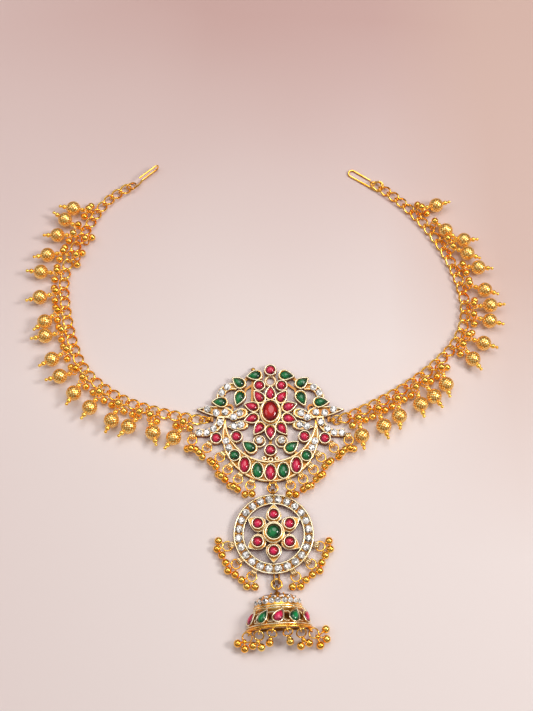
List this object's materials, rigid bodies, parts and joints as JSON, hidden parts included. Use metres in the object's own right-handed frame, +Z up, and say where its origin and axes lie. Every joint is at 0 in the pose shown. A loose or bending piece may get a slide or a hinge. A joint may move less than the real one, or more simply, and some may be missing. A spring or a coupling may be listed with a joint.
{
  "type": "hair chain",
  "caption": "Gold-coloured hair chain: pierced stone-set pendant, round medallion and half-bell drop between two curb chains of bead drops that end in wire hooks.",
  "frame": {"origin": "middle of the pendant's flower, on the flat back that lies on the surface", "axes": "+Z up out of the stones, +Y from the bell towards the hooks, +X to the right as the wearer's piece is seen"},
  "size_m": [0.2049, 0.2127, 0.0112],
  "materials": {
    "gold": "polished warm yellow gold plate",
    "ruby": "domed, glossy, foiled behind",
    "emerald": "domed, glossy, foiled behind",
    "crystal": "clear, faceted"
  },
  "bodies": {
    "root": {"pendant_plate": "gold", "centre_ruby": "ruby", "petal_rubies": "ruby", "pendant_rubies": "ruby", "pendant_emeralds": "emerald", "medallion_plate": "gold", "medallion_rubies": "ruby", "medallion_emerald": "emerald", "medallion_crystals": "crystal", "bell": "gold", "bell_stones_red": "ruby", "bell_stones_green": "emerald", "left_chain": "gold", "right_chain": "gold", "left_rings": "gold", "right_rings": "gold", "left_drops": "gold", "right_drops": "gold", "pendant_dangles": "gold", "medallion_dangles": "gold", "bell_dangles": "gold", "left_joining_ring": "gold", "right_joining_ring": "gold", "medallion_ring": "gold", "bell_ring": "gold", "left_hook": "gold", "right_hook": "gold"}
  },
  "joints": []
}
